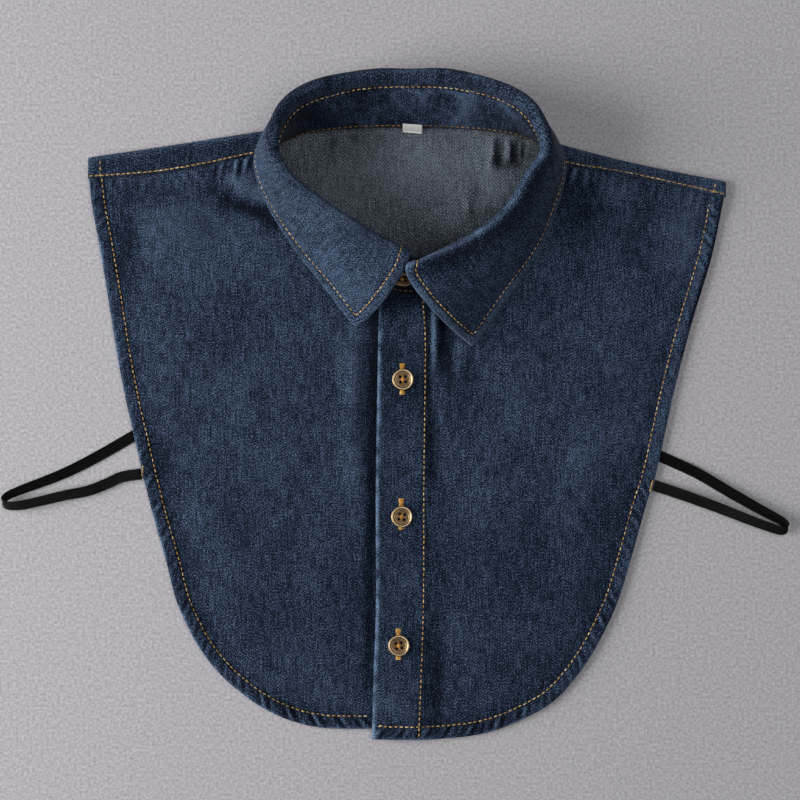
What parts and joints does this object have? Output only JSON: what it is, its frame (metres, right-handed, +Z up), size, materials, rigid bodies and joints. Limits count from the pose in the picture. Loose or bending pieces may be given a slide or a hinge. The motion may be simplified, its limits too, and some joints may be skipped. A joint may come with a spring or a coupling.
{
  "type": "detachable shirt collar",
  "caption": "Detachable denim shirt collar with a buttoned bib front, a back panel turned over the shoulders and elastic loops at its sides, lying flat.",
  "frame": {"origin": "centre of the part's box, on the surface that the back panel lies on", "axes": "+Z up off the surface, +Y towards the back of the neck, -X towards the wearer's right"},
  "size_m": [0.4544, 0.3866, 0.043],
  "materials": {
    "denim": "indigo cotton denim, washed soft, matt",
    "button_metal": "antique gold, worn bright on the raised rim",
    "elastic": "black ribbed elastic tape",
    "label_tape": "white woven cotton tape, blank"
  },
  "bodies": {
    "root": {"back_panel": "denim", "right_front": "denim", "left_front": "denim", "collar_stand": "denim", "collar_leaf": "denim", "button_top": "button_metal", "button_middle": "button_metal", "button_bottom": "button_metal", "button_collar": "button_metal", "elastic_right": "elastic", "elastic_left": "elastic", "neck_label": "label_tape"}
  },
  "joints": []
}
